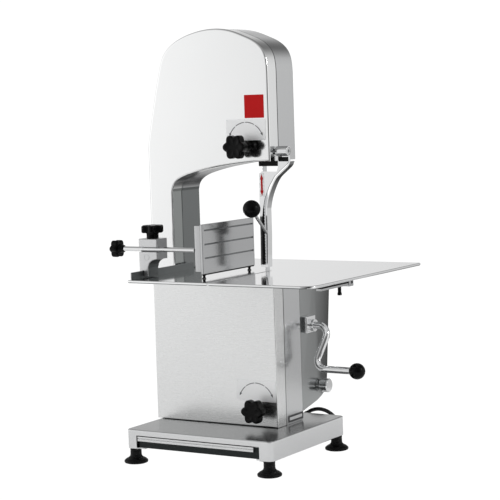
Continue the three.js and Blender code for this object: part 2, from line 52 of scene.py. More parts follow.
# ------------------------------------------------------------------ camera
AZ, EL, ROLL = math.radians(31.78), math.radians(4.95), math.radians(-1.80)
back = Vector((math.sin(AZ) * math.cos(EL), -math.cos(AZ) * math.cos(EL), math.sin(EL)))
right = (-back).cross(Vector((0, 0, 1))).normalized()
up = right.cross(-back)
r2 = right * math.cos(ROLL) + up * math.sin(ROLL)
u2 = up * math.cos(ROLL) - right * math.sin(ROLL)
cd = bpy.data.cameras.new("camera")
cd.sensor_width, cd.lens, cd.clip_start, cd.clip_end = 36, 119.35, 0.1, 50
cam = bpy.data.objects.new("camera", cd)
scene.collection.objects.link(cam)
m = Matrix((r2, u2, back)).transposed().to_4x4()
m.translation = Vector((1.7459, -2.8554, 0.7131))
cam.matrix_world = m
scene.camera = cam


# ------------------------------------------------------------------ mesh code
def catmull(pts, n):
    pts = [Vector(p) for p in pts]
    q = [2 * pts[0] - pts[1]] + pts + [2 * pts[-1] - pts[-2]]
    out = []
    for i in range(1, len(q) - 2):
        p0, p1, p2, p3 = q[i - 1:i + 3]
        t0 = 0.0
        t1 = t0 + max((p1 - p0).length, 1e-9) ** 0.5
        t2 = t1 + max((p2 - p1).length, 1e-9) ** 0.5
        t3 = t2 + max((p3 - p2).length, 1e-9) ** 0.5
        for k in range(n):
            t = t1 + (t2 - t1) * k / n
            a1 = p0 * ((t1 - t) / (t1 - t0)) + p1 * ((t - t0) / (t1 - t0))
            a2 = p1 * ((t2 - t) / (t2 - t1)) + p2 * ((t - t1) / (t2 - t1))
            a3 = p2 * ((t3 - t) / (t3 - t2)) + p3 * ((t - t2) / (t3 - t2))
            b1 = a1 * ((t2 - t) / (t2 - t0)) + a2 * ((t - t0) / (t2 - t0))
            b2 = a2 * ((t3 - t) / (t3 - t1)) + a3 * ((t - t1) / (t3 - t1))
            out.append(b1 * ((t2 - t) / (t2 - t1)) + b2 * ((t - t1) / (t2 - t1)))
    out.append(pts[-1])
    return [tuple(p) for p in out]


def ccw(o):
    a = sum(o[i][0] * o[(i + 1) % len(o)][1] - o[i][1] * o[(i + 1) % len(o)][0] for i in range(len(o)))
    return list(o) if a > 0 else list(reversed(o))


def inset(o, d):
    out, n = [], len(o)
    for i in range(n):
        q, p, r = o[i - 1], o[i], o[(i + 1) % n]
        l1, l2 = math.hypot(p[0] - q[0], p[1] - q[1]), math.hypot(r[0] - p[0], r[1] - p[1])
        n1 = (-(p[1] - q[1]) / l1, (p[0] - q[0]) / l1)
        n2 = (-(r[1] - p[1]) / l2, (r[0] - p[0]) / l2)
        s = d / max(1 + n1[0] * n2[0] + n1[1] * n2[1], 0.3)
        out.append((p[0] + s * (n1[0] + n2[0]), p[1] + s * (n1[1] + n2[1])))
    return out


def place(axis, u, v, h):
    return P(u, v, h) if axis == "Z" else P(u, h, v) if axis == "Y" else P(h, u, v)


def raw(verts, faces):
    me = bpy.data.meshes.new("raw")
    me.from_pydata([tuple(v) for v in verts], [], faces)
    me.validate()
    ob = bpy.data.objects.new("raw", me)
    scene.collection.objects.link(ob)
    import bmesh
    bm = bmesh.new()
    bm.from_mesh(me)
    bmesh.ops.remove_doubles(bm, verts=bm.verts, dist=1e-7)
    bmesh.ops.recalc_face_normals(bm, faces=bm.faces)
    bm.to_mesh(me)
    bm.free()
    return ob


def rings(ring_list, loop=False):
    n, verts, faces = len(ring_list[0]), [], []
    for r in ring_list:
        verts += r
    m_ = len(ring_list)
    for j in range(m_ if loop else m_ - 1):
        a, b = j * n, ((j + 1) % m_) * n
        for i in range(n):
            k = (i + 1) % n
            faces.append((a + i, a + k, b + k, b + i))
    if not loop:
        faces.append(tuple(range(n)))
        faces.append(tuple(range((m_ - 1) * n, m_ * n)))
    return raw(verts, faces)


def prism(axis, outline, a, b, edge=0.0, steps=3):
    o = ccw(outline)
    rr = []
    if edge > 0:
        for i in range(steps + 1):
            t = math.pi / 2 * i / steps
            rr.append((edge * (1 - math.sin(t)), a + edge * (1 - math.cos(t))))
        for i in range(steps + 1):
            t = math.pi / 2 * i / steps
            rr.append((edge * (1 - math.cos(t)), b - edge * (1 - math.sin(t))))
    else:
        rr = [(0, a), (0, b)]
    return rings([[place(axis, u, v, h) for u, v in (inset(o, d) if d else o)] for d, h in rr])


def rounded(x0, x1, y0, y1, radii, count=8):
    r = radii if isinstance(radii, (list, tuple)) else [radii] * 4
    out = []
    for cx, cy, q, a0 in ((x0 + r[0], y0 + r[0], r[0], 180), (x1 - r[1], y0 + r[1], r[1], 270),
                          (x1 - r[2], y1 - r[2], r[2], 0), (x0 + r[3], y1 - r[3], r[3], 90)):
        for i in range(count + 1):
            a = math.radians(a0 + 90 * i / count)
            out.append((cx + q * math.cos(a), cy + q * math.sin(a)))
    return out


def box(x0, x1, y0, y1, z0, z1, edge=0.0):
    return prism("Z", rounded(x0, x1, y0, y1, edge * 1.7, 4) if edge else [(x0, y0), (x1, y0), (x1, y1), (x0, y1)], z0, z1, edge)


def fillet(o, r, closed=False, count=4):
    out, n = [], len(o)
    for i in range(n):
        p = Vector(o[i])
        if not closed and i in (0, n - 1):
            out.append(tuple(p))
            continue
        a, b = Vector(o[i - 1]) - p, Vector(o[(i + 1) % n]) - p
        la, lb = a.length, b.length
        if la < 1e-6 or lb < 1e-6:
            continue
        a, b = a / la, b / lb
        ang = a.angle(b)
        if ang > math.radians(172):
            out.append(tuple(p))
            continue
        c = min(r / math.tan(ang / 2), la * 0.45, lb * 0.45)
        for k in range(count + 1):
            t = k / count
            s, e = p + a * c, p + b * c
            out.append(tuple(s * (1 - t) ** 2 + p * 2 * t * (1 - t) + e * t * t))
    return out


def lathe(axis, prof, c, seg=64, soft=0.5, turn=0.0):
    closed = prof[0] == prof[-1]
    p = fillet(prof[:-1] if closed else prof, soft, closed) if soft else (prof[:-1] if closed else prof)
    verts, faces, index = [], [], []
    for r, h in p:
        if r < 1e-6:
            index.append([len(verts)])
            verts.append(place(axis, *((c[0], c[1], c[2] + h) if axis == "Z" else (c[0], c[2], c[1] + h) if axis == "Y" else (c[1], c[2], c[0] + h))))
            continue
        row = []
        for i in range(seg):
            a = 2 * math.pi * i / seg + turn
            u, v = r * math.cos(a), r * math.sin(a)
            row.append(len(verts))
            verts.append(P(c[0] + u, c[1] + v, c[2] + h) if axis == "Z" else P(c[0] + u, c[1] + h, c[2] + v) if axis == "Y" else P(c[0] + h, c[1] + u, c[2] + v))
        index.append(row)
    for j in range(len(index) if closed else len(index) - 1):
        a, b = index[j], index[(j + 1) % len(index)]
        for i in range(seg):
            k = (i + 1) % seg
            if len(a) == 1 and len(b) == 1:
                break
            faces.append((a[0], b[k], b[i]) if len(a) == 1 else (a[i], a[k], b[0]) if len(b) == 1 else (a[i], a[k], b[k], b[i]))
    return raw(verts, faces)


def rod(axis, r, a, b, c, seg=48, soft=0.0):
    return lathe(axis, [(0, a), (r, a), (r, b), (0, b)], c, seg, soft)


def tube(pts, r, seg=24):
    pts = [P(*p) for p in pts]
    t = [(pts[min(i + 1, len(pts) - 1)] - pts[max(i - 1, 0)]).normalized() for i in range(len(pts))]
    n = t[0].orthogonal().normalized()
    rr = []
    for i, p in enumerate(pts):
        n = (n - t[i] * n.dot(t[i])).normalized()
        b = t[i].cross(n)
        rad = r(i / (len(pts) - 1)) / 1000 if callable(r) else r / 1000
        rr.append([p + (n * math.cos(2 * math.pi * k / seg) + b * math.sin(2 * math.pi * k / seg)) * rad for k in range(seg)])
    return rings(rr)


def arcs(points, radius, count=10):
    out = [points[0]]
    for i in range(1, len(points) - 1):
        p = Vector(points[i])
        a, b = (Vector(points[i - 1]) - p).normalized(), (Vector(points[i + 1]) - p).normalized()
        half = a.angle(b) / 2
        c = p + (a + b).normalized() * (radius / math.sin(half))
        s, e = p + a * (radius / math.tan(half)) - c, p + b * (radius / math.tan(half)) - c
        total, axis = s.angle(e), s.cross(e).normalized()
        out += [tuple(c + Matrix.Rotation(total * k / count, 3, axis) @ s) for k in range(count + 1)]
    return out + [points[-1]]


def extent(me):
    lo, hi = Vector((1e9,) * 3), Vector((-1e9,) * 3)
    for v in me.vertices:
        lo, hi = Vector(map(min, lo, v.co)), Vector(map(max, hi, v.co))
    return lo, hi


def apply_boolean(a, op, b, solver):
    md = a.modifiers.new("b", "BOOLEAN")
    md.operation, md.solver, md.object = op, solver, b
    bpy.context.view_layer.update()
    me = bpy.data.meshes.new_from_object(a.evaluated_get(bpy.context.evaluated_depsgraph_get()))
    a.modifiers.clear()
    return me


def sound(me, op, ea, eb):
    """The result is a closed body, and its box is the one that the operation has to give."""
    import bmesh
    if len(me.polygons) < 4:
        return False
    bm = bmesh.new()
    bm.from_mesh(me)
    open_ = any(not e.is_manifold for e in bm.edges)
    bm.free()
    lo, hi = extent(me)
    tol = 2e-5
    if op == "UNION":
        wl, wh = Vector(map(min, ea[0], eb[0])), Vector(map(max, ea[1], eb[1]))
        return not open_ and (lo - wl).length < tol and (hi - wh).length < tol
    return not open_ and all(lo[i] > ea[0][i] - tol and hi[i] < ea[1][i] + tol for i in range(3))


def boolean(a, op, others):
    for b in others:
        ea, eb = extent(a.data), extent(b.data)
        for solver in ("MANIFOLD", "EXACT"):
            me = apply_boolean(a, op, b, solver)
            if sound(me, op, ea, eb):
                break
            bpy.data.meshes.remove(me)
        else:
            raise RuntimeError(f"{op} gave a broken body near {[round(q * 1000) for q in (eb[0] + eb[1]) / 2]}")
        old, a.data = a.data, me
        bpy.data.meshes.remove(old)
        d_ = b.data
        bpy.data.objects.remove(b)
        bpy.data.meshes.remove(d_)
    return a


cut = lambda a, *b: boolean(a, "DIFFERENCE", b)
join = lambda a, *b: boolean(a, "UNION", b)


def smoother():
    g = bpy.data.node_groups.new("smooth_by_angle", "GeometryNodeTree")
    g.interface.new_socket("Geometry", in_out="INPUT", socket_type="NodeSocketGeometry")
    g.interface.new_socket("Geometry", in_out="OUTPUT", socket_type="NodeSocketGeometry")
    i, o = g.nodes.new("NodeGroupInput"), g.nodes.new("NodeGroupOutput")
    f, e = g.nodes.new("GeometryNodeSetShadeSmooth"), g.nodes.new("GeometryNodeSetShadeSmooth")
    f.domain, e.domain = "FACE", "EDGE"
    f.inputs["Shade Smooth"].default_value = True
    ang = g.nodes.new("GeometryNodeInputMeshEdgeAngle")
    c = g.nodes.new("FunctionNodeCompare")
    c.data_type, c.operation = "FLOAT", "LESS_THAN"
    c.inputs["B"].default_value = math.radians(34)
    g.links.new(i.outputs[0], f.inputs["Geometry"])
    g.links.new(f.outputs[0], e.inputs["Geometry"])
    g.links.new(ang.outputs["Unsigned Angle"], c.inputs["A"])
    g.links.new(c.outputs[0], e.inputs["Shade Smooth"])
    g.links.new(e.outputs[0], o.inputs[0])
    return g


SMOOTH = smoother()


def shade(ob, bevel=0.0):
    if bevel:
        b = ob.modifiers.new("bevel", "BEVEL")
        b.width, b.segments, b.limit_method, b.angle_limit = bevel / 1000, 2, "ANGLE", math.radians(35)
    ob.modifiers.new("smooth", "NODES").node_group = SMOOTH
    w = ob.modifiers.new("normals", "WEIGHTED_NORMAL")
    w.keep_sharp = True


def piece(ob, name, body, mat, repl=(), bevel=0.0):
    ob.name = ob.data.name = name
    ob.data.materials.clear()
    for q in (mat if isinstance(mat, list) else [mat]):
        ob.data.materials.append(q)
    shade(ob, bevel)
    if repl:
        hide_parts(*([repl] if isinstance(repl, str) else repl))
    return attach(ob, body)


# ------------------------------------------------------------------ materials
def material(name, color, rough, metallic=0.0, grain=None, vary=0.08, bump=0.02, spread=0.06, coat=0.0, spec=0.5, fine=900.0):
    mt = bpy.data.materials.new(name)
    mt.use_nodes = True
    t = mt.node_tree
    n, link = t.nodes, t.links.new
    s = n["Principled BSDF"]
    s.inputs["Metallic"].default_value = metallic
    s.inputs["Coat Weight"].default_value = coat
    s.inputs["Coat Roughness"].default_value = 0.12
    s.inputs["Specular IOR Level"].default_value = spec
    co = n.new("ShaderNodeTexCoord")
    mp = n.new("ShaderNodeMapping")
    k = {"x": (0.02, 1, 1), "y": (1, 0.02, 1), "z": (1, 1, 0.02), None: (1, 1, 1)}[grain]
    mp.inputs["Scale"].default_value = k
    link(co.outputs["Object"], mp.inputs["Vector"])
    f = n.new("ShaderNodeTexNoise")
    f.inputs["Scale"].default_value, f.inputs["Detail"].default_value = fine, 4
    link(mp.outputs[0], f.inputs["Vector"])
    big = n.new("ShaderNodeTexNoise")
    big.inputs["Scale"].default_value, big.inputs["Detail"].default_value = 9, 5
    link(co.outputs["Object"], big.inputs["Vector"])
    add = n.new("ShaderNodeMath")
    add.operation = "MULTIPLY_ADD"
    add.inputs[1].default_value = 0.55
    link(f.outputs["Fac"], add.inputs[0])
    half = n.new("ShaderNodeMath")
    half.operation = "MULTIPLY"
    half.inputs[1].default_value = 0.45
    link(big.outputs["Fac"], half.inputs[0])
    link(half.outputs[0], add.inputs[2])
    ro = n.new("ShaderNodeMapRange")
    ro.inputs["From Min"].default_value, ro.inputs["From Max"].default_value = 0.3, 0.7
    ro.inputs["To Min"].default_value, ro.inputs["To Max"].default_value = rough - spread, rough + spread
    link(add.outputs[0], ro.inputs["Value"])
    link(ro.outputs[0], s.inputs["Roughness"])
    cr = n.new("ShaderNodeValToRGB")
    cr.color_ramp.elements[0].position, cr.color_ramp.elements[1].position = 0.3, 0.7
    cr.color_ramp.elements[0].color = [c * (1 - vary) for c in color] + [1]
    cr.color_ramp.elements[1].color = [min(1, c * (1 + vary)) for c in color] + [1]
    link(add.outputs[0], cr.inputs[0])
    link(cr.outputs[0], s.inputs["Base Color"])
    bp = n.new("ShaderNodeBump")
    bp.inputs["Strength"].default_value, bp.inputs["Distance"].default_value = bump * 10, 0.00008
    link(f.outputs["Fac"], bp.inputs["Height"])
    link(bp.outputs[0], s.inputs["Normal"])
    return mt


STEEL_Z = material("steel_satin_upright", (0.61, 0.615, 0.62), 0.19, 1, "z", 0.025, 0.006, 0.035, fine=1800)
STEEL_X = material("steel_satin_across", (0.68, 0.685, 0.69), 0.26, 1, "x", 0.025, 0.006, 0.035, fine=1800)
STEEL_LOW = material("steel_cover_lower", (0.76, 0.765, 0.765), 0.27, 1, "x", 0.02, 0.005, 0.03, fine=1800)
# painted shade: darker steel for the throat's column side and the seam gap
THROAT_SHADE_FRAME = material("steel_painted_shade_throat_rear", (0.19, 0.20, 0.20), 0.24, 1, "z", 0.03, 0.006, 0.03, fine=1800)
THROAT_SHADE = material("steel_painted_shade_throat", (0.31, 0.325, 0.32), 0.24, 1, "z", 0.03, 0.006, 0.03, fine=1800)
HOUSING = material("steel_housing", (0.36, 0.37, 0.37), 0.17, 1, "z", 0.025, 0.006, 0.03, fine=1800)
# painted shade: near-black colour for the drawer's front under its pull strip
DRAWER_SHADE = material("drawer_front_painted_shade", (0.014, 0.018, 0.018), 0.35, 0, "x", 0.1, 0.01, 0.05, spec=0.15)
# painted shade: near-black colour for the guard's channel and the groove under its barrel
CHANNEL_SHADE = material("guard_channel_painted_shade", (0.012, 0.012, 0.012), 0.45, 0.3, "z", 0.1, 0.01, 0.05, spec=0.1)
# darker steel: painted shade under the table's rim and on its left upstand's inner face; also used on the clamp's
# curved jaw
STEEL_DARK = material("steel_dark", (0.15, 0.16, 0.16), 0.30, 1, "x", 0.06, 0.01)
COVER = material("steel_cover", (0.855, 0.86, 0.86), 0.12, 1, "z", 0.015, 0.004, 0.03, fine=1800)
POLISH = material("steel_polished", (0.84, 0.845, 0.85), 0.1, 1, "x", 0.03, 0.008, 0.04)
BASE_TOP = material("steel_base_top", (0.3, 0.305, 0.305), 0.22, 1, "x", 0.03, 0.005, 0.03, fine=1800)
BASE_ST = material("steel_base", (0.68, 0.685, 0.69), 0.15, 1, "x", 0.03, 0.005, 0.03, fine=1800)
BRIGHT = material("steel_bright", (0.8, 0.805, 0.81), 0.07, 1, None, 0.02, 0.004, 0.03)
ALU = material("aluminium_brushed", (0.5, 0.505, 0.51), 0.19, 1, "y", 0.03, 0.004, 0.03, fine=1800)
CAST = material("aluminium_cast", (0.62, 0.625, 0.63), 0.34, 0.9, None, 0.05, 0.05, 0.08, fine=1400)
BLACK = material("plastic_black", (0.0015, 0.0015, 0.0016), 0.26, 0, None, 0.2, 0.01, 0.04, spec=0.12)
RUBBER = material("rubber_black", (0.003, 0.003, 0.0032), 0.38, 0, None, 0.2, 0.03, 0.06, spec=0.16)
SHEATH = material("cord_sheath", (0.008, 0.008, 0.009), 0.38, 0, None, 0.15, 0.03, 0.06)
ENAMEL = material("motor_enamel", (0.14, 0.15, 0.16), 0.42, 0, None, 0.08, 0.04)
BLADE = material("blade_strip", (0.68, 0.69, 0.70), 0.22, 1, "z", 0.06, 0.02)
WHITE_PL = material("plastic_white", (0.78, 0.77, 0.73), 0.45, 0, None, 0.04, 0.03)
BOX_PL = material("plastic_switch", (0.035, 0.037, 0.04), 0.48, 0, None, 0.12, 0.06, fine=1800)
GREEN = material("plastic_green", (0.02, 0.28, 0.07), 0.3, 0, None, 0.08, 0.02)
RED = material("plastic_red", (0.50, 0.02, 0.02), 0.3, 0, None, 0.08, 0.02)
LABEL_RED = material("label_red", (0.52, 0.008, 0.009), 0.42, 0, None, 0.05, 0.01, spec=0.1)
LABEL_PALE = material("label_pale", (0.88, 0.885, 0.89), 0.40, 0.45, None, 0.02, 0.01)
LABEL_INK = material("label_ink", (0.07, 0.07, 0.075), 0.45, 0, None, 0.1, 0.01)

# ------------------------------------------------------------------ mains lead
d = Vector((0.7372, 0.2, 0.6454)).normalized()
start = Vector((52, 157, 47))
exit_mm = start + d * 30.5
LEAD = [tuple(exit_mm), (77.56, 163.91, 69.09), (83.2, 165.3, 72.3), (93.1, 167.6, 75.2), (103.4, 170.4, 75.1), (113.3, 173.6, 72.1), (121.8, 177.4, 66.3),
        (128.4, 181.7, 58.4), (132.4, 186.4, 48.9), (133.6, 191.6, 38.7), (131.7, 197.1, 28.5), (127.1, 202.9, 19.3), (120, 208.6, 11.9), (112.4, 213.5, 7.3), (102.4, 219, 4.6),
        (92.1, 224.2, 4.3), (81.8, 228.9, 4.3), (71.4, 233.1, 4.3), (61.1, 236.6, 4.3), (50.7, 239.4, 4.3), (40.4, 241.5, 4.3), (30, 242.9, 4.3), (19.7, 243.6, 4.3), (9.3, 244, 4.3), (-1, 244, 4.3)]
COIL = [(-30 + 44 * math.cos(math.pi / 2 + a), 200 + 44 * math.sin(math.pi / 2 + a), 4.3 + 8.6 * a / (2 * math.pi))
        for a in [2 * math.pi * i / 20 for i in range(0, 101)]]
TAIL = [(-59, 244, 44.4), (-72, 244, 38.4), (-86, 244, 28.6), (-98, 244, 20.6), (-108, 244, 16.2), (-115, 244, 14.9), (-121.9, 244, 14.9)]
route = [P(*p) for p in LEAD + COIL + TAIL]
cu = bpy.data.curves.new("mains_lead", "CURVE")
cu.dimensions, cu.bevel_depth, cu.bevel_resolution, cu.resolution_u, cu.use_fill_caps = "3D", 0.004, 5, 6, True
sp = cu.splines.new("NURBS")
sp.points.add(len(route) - 1)
for q, p in zip(sp.points, route):
    q.co = (*p, 1)
sp.use_endpoint_u, sp.order_u = True, 3
lead = bpy.data.objects.new("mains_lead", cu)
scene.collection.objects.link(lead)
cu.materials.append(SHEATH)
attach(lead, "frame")
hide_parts("cord_lead", "cord_coil", "cord_tail")

# plug: moulded body with grip ribs and two round pins
plug = join(lathe("X", [(0, -42), (13.6, -42), (14.4, -39), (14.4, -22), (12, -16), (12.6, -15), (10.2, -11), (10.8, -10), (8.6, -6), (9, -5), (7, -0.3), (0, -0.3)], (-122, 244, 14.9), 48, 0.4),
            rod("X", 2.4, -61, -41, (-122, 234.5, 14.9), 24, 0.8), rod("X", 2.4, -61, -41, (-122, 253.5, 14.9), 24, 0.8))
piece(plug, "plug", "frame", BLACK, "mains_plug")
boot = tube([tuple(start + d * (30 * i / 40)) for i in range(41)], lambda t: 7.6 - 2.4 * t - (0.7 if int(t * 40) % 4 == 3 and t > 0.15 else 0))
gland = join(rod("Y", 9, 154, 161, (52, 0, 47), 48, 0.8), lathe("Y", [(0, 148.3), (11, 148.3), (11, 155), (0, 155)], (52, 0, 47), 6, 0.5, math.pi / 6), boot)
piece(gland, "cord_gland", "frame", BLACK, "power_gland")

# ------------------------------------------------------------------ sheet-metal body
X0, X1, Z0, Z1, COL, SEAM, FRONT, BACK = -178.5, 114, 70.6, 372, -122, 9.5, -24.5, 78
HEAD = [(-178.5, 640), (-170.5, 682), (-160, 731), (-147.5, 783), (-139, 812), (-128, 830), (-112, 843.5), (-92, 854), (-67, 862.5),
        (-36, 868.6), (-5, 870), (28, 865), (60, 853.5), (81, 844), (94, 835), (103.5, 824.5), (109.5, 812), (112.4, 797), (113.5, 780)]
THROAT = [(76, 604), (29, 599.6), (-35, 590), (-72, 581.6), (-96, 574), (-110, 566), (-118.4, 556), (-122, 543)]
head = [(x, min(z, 870)) for x, z in catmull(HEAD, 5)] + [(113.5, 604)]
throat = catmull(THROAT, 6)
upper_o = ccw([(X0, Z1 + 0.6)] + head + throat + [(COL, Z1 + 0.6)])
whole_o = ccw([(X0, Z0)] + head + throat + [(COL, Z1), (X1, Z1), (X1, Z0)])


def pan(outline, y_open, y_face, t, r):
    """A folded sheet-metal pan: walls from the open edge, a rounded fold, a flat face."""
    s = 1 if y_face > y_open else -1
    o = ccw(outline)
    rr = [(r, y_face - s * t)]
    for i in range(5):
        a = math.pi / 2 * (4 - i) / 4
        rr.append((t + (r - t) * (1 - math.cos(a)), y_face - s * r + s * (r - t) * math.sin(a)))
    rr += [(t, y_open), (0.9, y_open), (0, y_open + s * 0.9)]
    for i in range(7):
        a = math.pi / 2 * i / 6
        rr.append((r * (1 - math.cos(a)), y_face - s * r + s * r * math.sin(a)))
    rr.append((r + 0.4, y_face))
    return rings([[place("Y", u, v, h) for u, v in inset(o, q)] for q, h in rr])


KU, KL = (54, 634), (77, 107)
fr = pan(whole_o, SEAM + 0.3, BACK, 3, 4.2)
fr = cut(fr, box(66, 84, SEAM - 1, 34, 590, 612), box(66, 84, SEAM - 1, 34, 364, 378), box(-95, 55, 14, 58, Z0 - 2, Z0 + 6),
         prism("Y", rounded(-50.3, -12.3, 231, 276, 14), BACK - 8, BACK + 2))


def paint_throat_shade(ob):
    """The column's side in the throat and the rim along the seam get a darker, rougher steel: painted shade in the
    throat recess and in the seam gap.
    """
    for q in ob.data.polygons:
        c = q.center * 1000 - SHIFT
        rim = SEAM + 0.35 < c.y < SEAM + 1.15 and abs(q.normal.y) > 0.3
        q.material_index = 1 if rim or (q.normal.x > 0.9 and abs(c.x - COL) < 1.5 and 372 < c.z < 562) else 0
    return ob


paint_throat_shade(piece(fr, "body_frame", "frame", [STEEL_Z, THROAT_SHADE_FRAME], "main_frame"))
uc = cut(pan(upper_o, SEAM - 0.3, FRONT, 2, 3.2), box(108, 116, -6.4, SEAM + 1, 616.6, 629.4), rod("Y", 4.5, FRONT - 1, FRONT + 4, (KU[0], 0, KU[1])))
paint_throat_shade(piece(uc, "cover_upper", "upper_door", [COVER, THROAT_SHADE], "upper_cover"))
lc = cut(pan([(X0, Z0 + 0.4), (X1, Z0 + 0.4), (X1, Z1 - 0.4), (X0, Z1 - 0.4)], SEAM - 0.3, FRONT, 1.2, 2.0), rod("Y", 4.5, FRONT - 1, FRONT + 4, (KL[0], 0, KL[1])))
piece(lc, "cover_lower", "lower_door", STEEL_LOW, "lower_cover")

# base tray, drawer, feet
tr = prism("Z", rounded(-171, 171, -148, 148, 10, 12), 30, 70.2, 2.4, 5)
tr = cut(tr, prism("Z", rounded(-168.5, 168.5, -145.5, 145.5, 7.5, 10), 32.5, 67.7), box(-132, 132, -145.5, 145.5, 28, 34),
         box(-146.5, 143.5, -149, -140, 28, 58.6), box(-95, 55, 14, 58, 66, 72))
tr = piece(tr, "base", "frame", [BASE_ST, BASE_TOP], "base_tray")
for q in tr.data.polygons:  # the flat top gets a darker, rougher steel than the folded sides
    q.material_index = 1 if q.normal.z > 0.95 and q.center.z * 1000 > 69.5 else 0
dr = cut(box(-144, 141.4, -143, 118, 33.2, 57.6, 1.2), box(-142.4, 139.8, -141.4, 116.4, 34.8, 62, 0.8))
lip = prism("X", fillet([(-142.6, 57.6), (-148, 56.8), (-148, 53.4), (-146.6, 52.4), (-148, 51.4), (-148, 47), (-142.6, 47)], 0.9, True), -144, 130, 0.3)
dr = piece(join(dr, lip), "drawer", "drawer", [STEEL_X, DRAWER_SHADE], "residue_drawer")
for q in dr.data.polygons:  # painted shade: the drawer's front below its pull strip gets a near-black colour
    c = q.center * 1000 - SHIFT
    q.material_index = 1 if c.y < -142 and c.z < 46.8 else 0
for nm in ("foot_front_left", "foot_front_right", "foot_rear_left", "foot_rear_right"):
    lo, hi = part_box(nm)
    c = ((lo + hi) / 2) * 1000 - SHIFT
    f = lathe("Z", [(0, 0), (20.5, 0), (23.6, 1.2), (24.4, 3.4), (24, 5.6), (20.4, 8.8), (14.6, 12), (12.2, 14.6), (11.5, 18), (11.5, 24), (11, 25), (11.5, 26), (11.5, 29.7), (0, 29.7)], (c.x, c.y, 0), 64, 0.7)
    piece(f, "rubber_" + nm, "frame", RUBBER, nm)


# star knobs
def star_mesh(axis, r, cx, cy, a, b, face):
    """Six-lobed grip: rounded rims and a dished front face. face is -1 or 1, the side that looks outwards."""
    def ring(k, h):
        out = []
        for i in range(120):
            q = 2 * math.pi * i / 120
            w = (0.5 + 0.5 * math.cos(6 * q)) ** 0.7
            rad = (r * (0.78 + 0.22 * w)) - k
            out.append(place(axis, cx + rad * math.cos(q), cy + rad * math.sin(q), h))
        return out
    L = b - a
    prof = [(r * 0.62, 0.0), (r * 0.3, 0.0), (2.6, 0.0), (1.2, 0.5), (0.3, 1.6), (0, 3.2), (0, L - 3.6), (0.5, L - 1.8), (1.6, L - 0.6), (3.2, L - 0.1), (r * 0.28, L - 0.3), (r * 0.42, L - 1.1), (r * 0.62, L - 1.2)]
    return rings([ring(k, (a + h) if face > 0 else (b - h)) for k, h in prof])


for nm, (kx, kz), body, node in (("knob_upper", KU, "upper_latch", "upper_cover_knob"), ("knob_lower", KL, "lower_latch", "lower_cover_knob")):
    k = join(star_mesh("Y", 25.5, kx, kz, -66, -48, -1), lathe("Y", [(0, -50), (16.5, -50), (15.6, -47), (12.6, -43), (12, -38), (12, -24.8), (0, -24.8)], (kx, 0, kz), 64, 1.2),
             rod("Y", 4, -26.5, 16, (kx, 0, kz), 32, 0.6))
    piece(k, nm, body, BLACK, node)
ck = join(star_mesh("Z", 23.5, -100, -131.5, 469, 484, 1), lathe("Z", [(0, 457.9), (12, 457.9), (12, 466), (13.5, 469.8), (0, 469.8)], (-100, -131.5, 0), 64, 0.8))
piece(ck, "knob_clamp", "clamp_screw", BLACK, "clamp_knob")
ek = join(star_mesh("X", 18.5, -141, 436.5, -189, -173, -1), lathe("X", [(0, -174), (10.5, -174), (9, -171), (7.5, -168), (7.5, -164.3), (0, -164.3)], (0, -141, 436.5), 48, 0.8))
piece(ek, "knob_fence", "fence", BLACK, "fence_end_knob")

# table
tb = prism("Z", rounded(-114, 302, -204, 258, [4, 26, 8, 8], 14), 375, 380.5, 1.6, 5)
tb = cut(tb, prism("Z", rounded(-111.5, 299.5, -201.5, 255.5, [2, 23.5, 5.5, 5.5], 12), 374, 377.7))
tb = cut(join(tb, box(-114, -111.5, -193, 30, 375.5, 394.5, 0.6)), box(71.8, 76.8, -206, 32, 370, 382))
tb = piece(tb, "table", "frame", [POLISH, STEEL_DARK], "work_table")
for q in tb.data.polygons:  # painted shade: the underside of the rim and the left upstand's inner face get the dark steel
    x, z = q.center.x * 1000 - SHIFT.x, q.center.z * 1000
    q.material_index = 1 if (z < 377.0 and q.normal.z < 0.3 and q.normal.x < 0.5) or (z > 380.6 and x < -111 and q.normal.x > 0.9) else 0

# wheels, shaft parts
WP = [(24, 9), (26, 16.5), (90, 16.5), (94, 12.5), (105, 12.5), (105, 27.5), (108, 27.5), (108, 31.2), (94, 31.2), (90, 24.5), (26, 24.5), (24, 37)]
for nm, z, bore, body, node in (("wheel_upper", 742.5, 17.9, "upper_wheel_set", "upper_wheel"), ("wheel_lower", 250, 10.4, "lower_wheel_set", "lower_wheel")):
    w = lathe("Y", [(bore, 9)] + WP + [(bore, 37), (bore, 9)], (-31.3, 0, z), 128, 0.8)
    w = cut(w, *[rod("Y", 17, 10, 35, (-31.3 + 58 * math.cos(math.radians(i * 72 + 18)), 0, z + 58 * math.sin(math.radians(i * 72 + 18))), 48) for i in range(5)])
    piece(w, nm, body, ALU, node)
piece(lathe("Y", [(8.9, 10), (11.4, 10), (11.8, 11), (14.6, 11), (15, 10), (17.5, 10), (17.5, 36), (8.9, 36), (8.9, 10)], (-31.3, 0, 742.5), 72, 0.3), "bearing_upper", "upper_wheel_set", BRIGHT, "upper_wheel_bearing")
piece(lathe("Y", [(0, 6), (8.4, 6), (8.4, 40), (12, 40), (14, 67), (34, 67.7), (34, 73.7), (0, 73.7)], (-31.3, 0, 742.5), 72, 0.7), "axle_upper", "frame", STEEL_Z, "upper_axle")
piece(lathe("Y", [(0, 3), (14, 3), (14, 8.6), (10, 8.6), (10, 188), (0, 188)], (-31.3, 0, 250), 72, 0.7), "shaft", "lower_wheel_set", BRIGHT, "motor_shaft")
fins = [(60, 96)]
for i in range(10):
    y = 99 + i * 9
    fins += [(60, y), (60, y + 4.5), (56, y + 5), (56, y + 8.5)]
mo = lathe("Y", [(0, 192), (11.5, 192), (11.5, 87.3), (68, 87.3), (68, 95), (61, 95)] + fins + [(60, 190), (60, 194), (48, 202), (0, 202)], (-31.3, 0, 250), 96, 0.4)
piece(mo, "motor", "carriage", ENAMEL, "motor_body")
